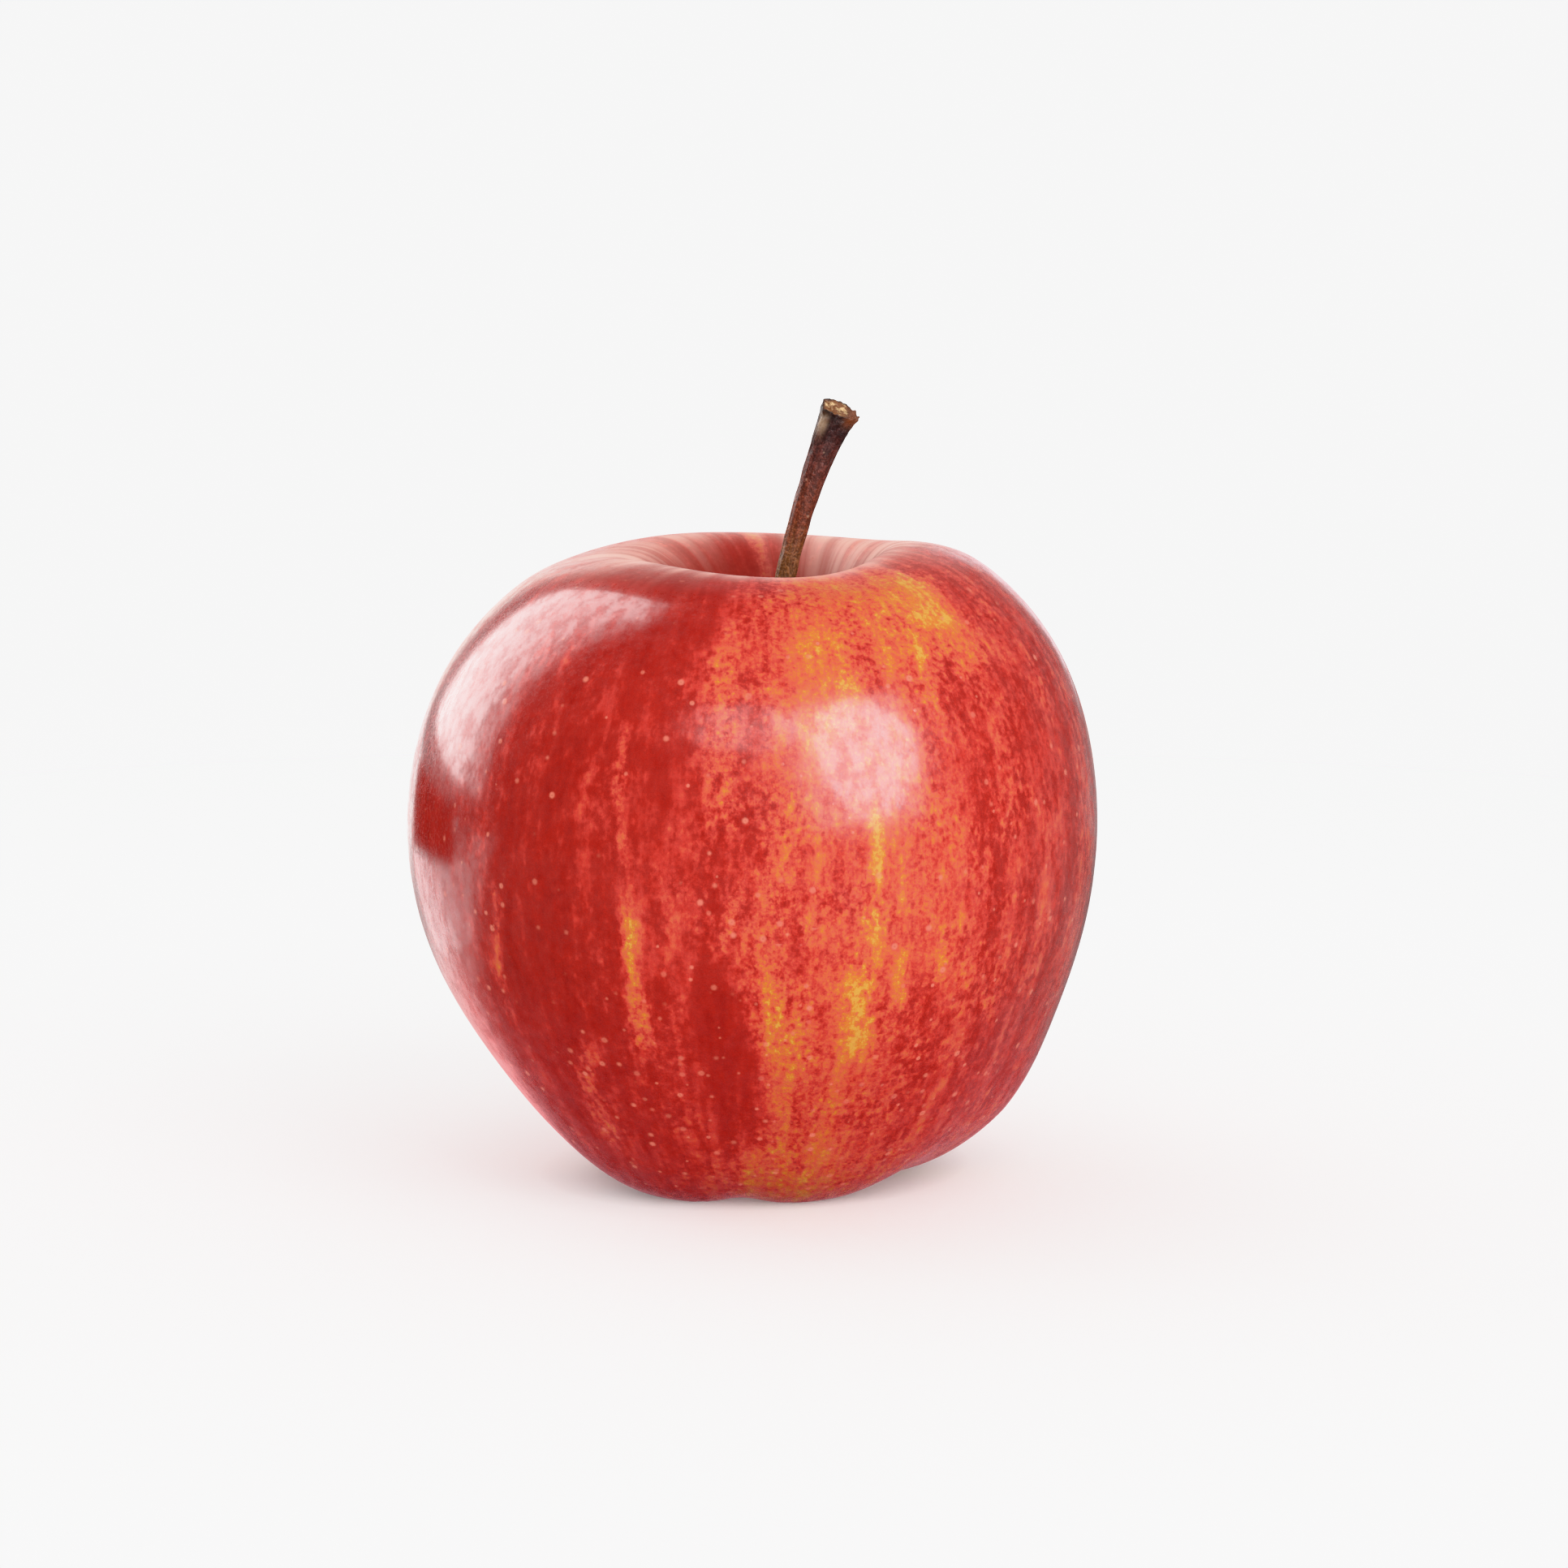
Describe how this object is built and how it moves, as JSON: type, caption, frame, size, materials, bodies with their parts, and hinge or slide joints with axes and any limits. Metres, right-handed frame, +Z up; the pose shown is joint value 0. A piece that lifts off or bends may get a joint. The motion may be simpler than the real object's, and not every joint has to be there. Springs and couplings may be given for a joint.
{
  "type": "red apple",
  "caption": "Whole ripe red apple with its woody stalk in the pit at the top and its dried calyx in the basin underneath, resting on small flat feet.",
  "frame": {"origin": "on the ground under the middle of the fruit, where its core meets the surface that it stands on", "axes": "+Z up along the core towards the stalk, -Y the side seen in the picture, +X to its right, where the stalk leans"},
  "size_m": [0.0776, 0.0774, 0.0882],
  "materials": {
    "skin": "waxy apple skin, mottled red over golden yellow with pale pores",
    "bark": "dull reddish brown bark, nearly black at the torn end",
    "sepal": "dry, downy grey-olive leaf",
    "stamen": "dry brown filaments"
  },
  "bodies": {
    "root": {"fruit": "skin", "stem": "bark", "calyx": "sepal", "stamens": "stamen"}
  },
  "joints": []
}
